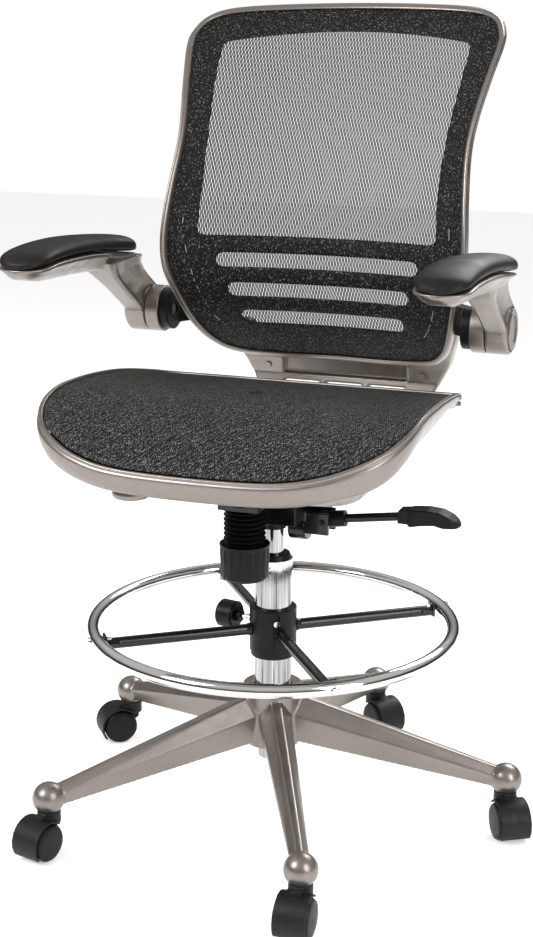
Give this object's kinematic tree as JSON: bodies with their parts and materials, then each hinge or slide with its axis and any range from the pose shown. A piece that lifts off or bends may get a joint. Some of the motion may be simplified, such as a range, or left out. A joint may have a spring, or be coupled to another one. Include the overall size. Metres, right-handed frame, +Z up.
{
  "type": "drafting chair",
  "caption": "Tall drafting chair with mesh seat and back, flip-up arms, gas lift, adjustable foot ring and five-leg caster base.",
  "frame": {"origin": "on the floor, at the column's axis", "axes": "+Z up along the column; the chair faces -Y; +X is the sitter's left"},
  "size_m": [0.7025, 0.7135, 1.092],
  "materials": {
    "silver_metal": "satin",
    "silver_plastic": "satin",
    "black_casting": "satin",
    "chrome": "polished",
    "steel": "satin",
    "black_metal": "satin",
    "black_plastic": "matte",
    "rubber": "satin",
    "wheel": "satin",
    "mesh": "matte",
    "pad": "satin"
  },
  "bodies": {
    "base": {"star_base": "silver_metal", "outer_tube": "chrome", "tube_stop_ring": "chrome", "guide_bushing": "black_plastic", "thrust_bearing": "steel"},
    "rod": {"piston_rod": "steel", "rod_clip": "steel"},
    "mechanism": {"gas_cylinder": "chrome", "dust_ring": "black_plastic", "mechanism_housing": "black_casting", "tension_bolt": "steel", "tension_spring": "steel", "tension_boot": "rubber", "pivot_pin": "steel"},
    "valve": {"valve_pin": "steel"},
    "tension_carriage": {"spring_washer": "steel"},
    "tension": {"tension_knob": "black_plastic"},
    "lever_pivot": {"lever_socket": "black_plastic"},
    "lever": {"lever_rod": "black_metal", "lever_paddle": "black_plastic"},
    "foot_rest": {"foot_ring": "chrome", "ring_spokes": "black_metal", "ring_collar": "black_plastic", "spoke_bolts": "chrome", "collar_screw": "chrome"},
    "clamp": {"clamp_knob": "black_plastic", "clamp_screw": "chrome"},
    "seat": {"seat_plate": "black_metal", "seat_pan": "silver_plastic", "seat_rim": "silver_plastic", "seat_mesh": "mesh", "rim_rivets": "steel", "back_support": "silver_metal", "back_frame": "silver_plastic", "back_mesh": "mesh", "support_screws": "steel", "arm_bracket_left": "black_metal", "arm_bracket_right": "black_metal", "arm_spacers": "silver_metal"},
    "left_arm": {"arm_left": "silver_metal", "arm_pad_left": "pad", "pivot_cap_left": "silver_metal"},
    "right_arm": {"arm_right": "silver_metal", "arm_pad_right": "pad", "pivot_cap_right": "silver_metal"},
    "caster_1": {"caster_1_hood": "black_plastic", "caster_1_pins": "steel"},
    "wheels_1": {"caster_1_wheels": "wheel"},
    "caster_2": {"caster_2_hood": "black_plastic", "caster_2_pins": "steel"},
    "wheels_2": {"caster_2_wheels": "wheel"},
    "caster_3": {"caster_3_hood": "black_plastic", "caster_3_pins": "steel"},
    "wheels_3": {"caster_3_wheels": "wheel"},
    "caster_4": {"caster_4_hood": "black_plastic", "caster_4_pins": "steel"},
    "wheels_4": {"caster_4_wheels": "wheel"},
    "caster_5": {"caster_5_hood": "black_plastic", "caster_5_pins": "steel"},
    "wheels_5": {"caster_5_wheels": "wheel"}
  },
  "joints": [
    {"name": "column_swivel", "type": "hinge", "parent": "base", "child": "rod", "pos_m": [0, 0, 0.086], "axis": [0, 0, 1], "continuous": true},
    {"name": "gas_lift", "type": "slide", "parent": "rod", "child": "mechanism", "axis": [0, 0, 1], "range_m": [-0.02, 0.18]},
    {"name": "valve_press", "type": "slide", "parent": "mechanism", "child": "valve", "axis": [0, 0, -1], "range_m": [0, 0.003]},
    {"name": "lever_lift", "type": "hinge", "parent": "mechanism", "child": "lever_pivot", "pos_m": [0.07, 0.01, 0.4255], "axis": [0, -1, 0], "range_deg": [0, 7], "stiffness_Nm_per_rad": 3, "springref_deg": -6.88},
    {"name": "lever_push", "type": "slide", "parent": "lever_pivot", "child": "lever", "axis": [-0.9903, 0, -0.1392], "range_m": [0, 0.01]},
    {"name": "tension_turn", "type": "hinge", "parent": "tension_carriage", "child": "tension", "pos_m": [0, -0.108, 0.389], "axis": [0, 0, 1], "range_deg": [0, 1440]},
    {"name": "tension_feed", "type": "slide", "parent": "mechanism", "child": "tension_carriage", "axis": [0, 0, 1], "range_m": [0, 0.008], "deforming": ["tension_spring", "tension_boot"]},
    {"name": "seat_tilt", "type": "hinge", "parent": "mechanism", "child": "seat", "pos_m": [0, 0.03, 0.461], "axis": [-1, 0, 0], "range_deg": [0, 14], "stiffness_Nm_per_rad": 120, "springref_deg": -14.32},
    {"name": "left_arm_flip", "type": "hinge", "parent": "seat", "child": "left_arm", "pos_m": [0.262, 0.165, 0.667], "axis": [-1, 0, 0], "range_deg": [0, 85]},
    {"name": "right_arm_flip", "type": "hinge", "parent": "seat", "child": "right_arm", "pos_m": [-0.262, 0.165, 0.667], "axis": [-1, 0, 0], "range_deg": [0, 85]},
    {"name": "foot_ring_slide", "type": "slide", "parent": "base", "child": "foot_rest", "axis": [0, 0, 1], "range_m": [-0.04, 0.03]},
    {"name": "clamp_turn", "type": "hinge", "parent": "foot_rest", "child": "clamp", "pos_m": [-0.06894, 0.01215, 0.274], "axis": [-0.9848, 0.1736, 0], "range_deg": [0, 360]},
    {"name": "caster_1_swivel", "type": "hinge", "parent": "base", "child": "caster_1", "pos_m": [0.3192, 0.046, 0.055], "axis": [0, 0, 1], "continuous": true},
    {"name": "caster_1_roll", "type": "hinge", "parent": "caster_1", "child": "wheels_1", "pos_m": [0.33086, 0.02734, 0.025], "axis": [0.848, 0.5299, 0], "continuous": true},
    {"name": "caster_2_swivel", "type": "hinge", "parent": "base", "child": "caster_2", "pos_m": [0.05489, 0.31779, 0.055], "axis": [0, 0, 1], "continuous": true},
    {"name": "caster_2_roll", "type": "hinge", "parent": "caster_2", "child": "wheels_2", "pos_m": [0.07199, 0.30395, 0.025], "axis": [0.6293, 0.7771, 0], "continuous": true},
    {"name": "caster_3_swivel", "type": "hinge", "parent": "base", "child": "caster_3", "pos_m": [-0.28528, 0.15041, 0.055], "axis": [0, 0, 1], "continuous": true},
    {"name": "caster_3_roll", "type": "hinge", "parent": "caster_3", "child": "wheels_3", "pos_m": [-0.30213, 0.13627, 0.025], "axis": [0.6428, -0.766, 0], "continuous": true},
    {"name": "caster_4_swivel", "type": "hinge", "parent": "base", "child": "caster_4", "pos_m": [-0.2312, -0.22484, 0.055], "axis": [0, 0, 1], "continuous": true},
    {"name": "caster_4_roll", "type": "hinge", "parent": "caster_4", "child": "wheels_4", "pos_m": [-0.23653, -0.24618, 0.025], "axis": [0.9703, -0.2419, 0], "continuous": true},
    {"name": "caster_5_swivel", "type": "hinge", "parent": "base", "child": "caster_5", "pos_m": [0.14239, -0.28937, 0.055], "axis": [0, 0, 1], "continuous": true},
    {"name": "caster_5_roll", "type": "hinge", "parent": "caster_5", "child": "wheels_5", "pos_m": [0.14315, -0.31135, 0.025], "axis": [0.9994, 0.0349, 0], "continuous": true}
  ],
  "couplings": [
    {"joint": "valve_press", "follows": "lever_lift", "m_per_rad": 0.0245},
    {"joint": "tension_turn", "follows": "tension_feed", "rad_per_m": 3141.5}
  ]
}
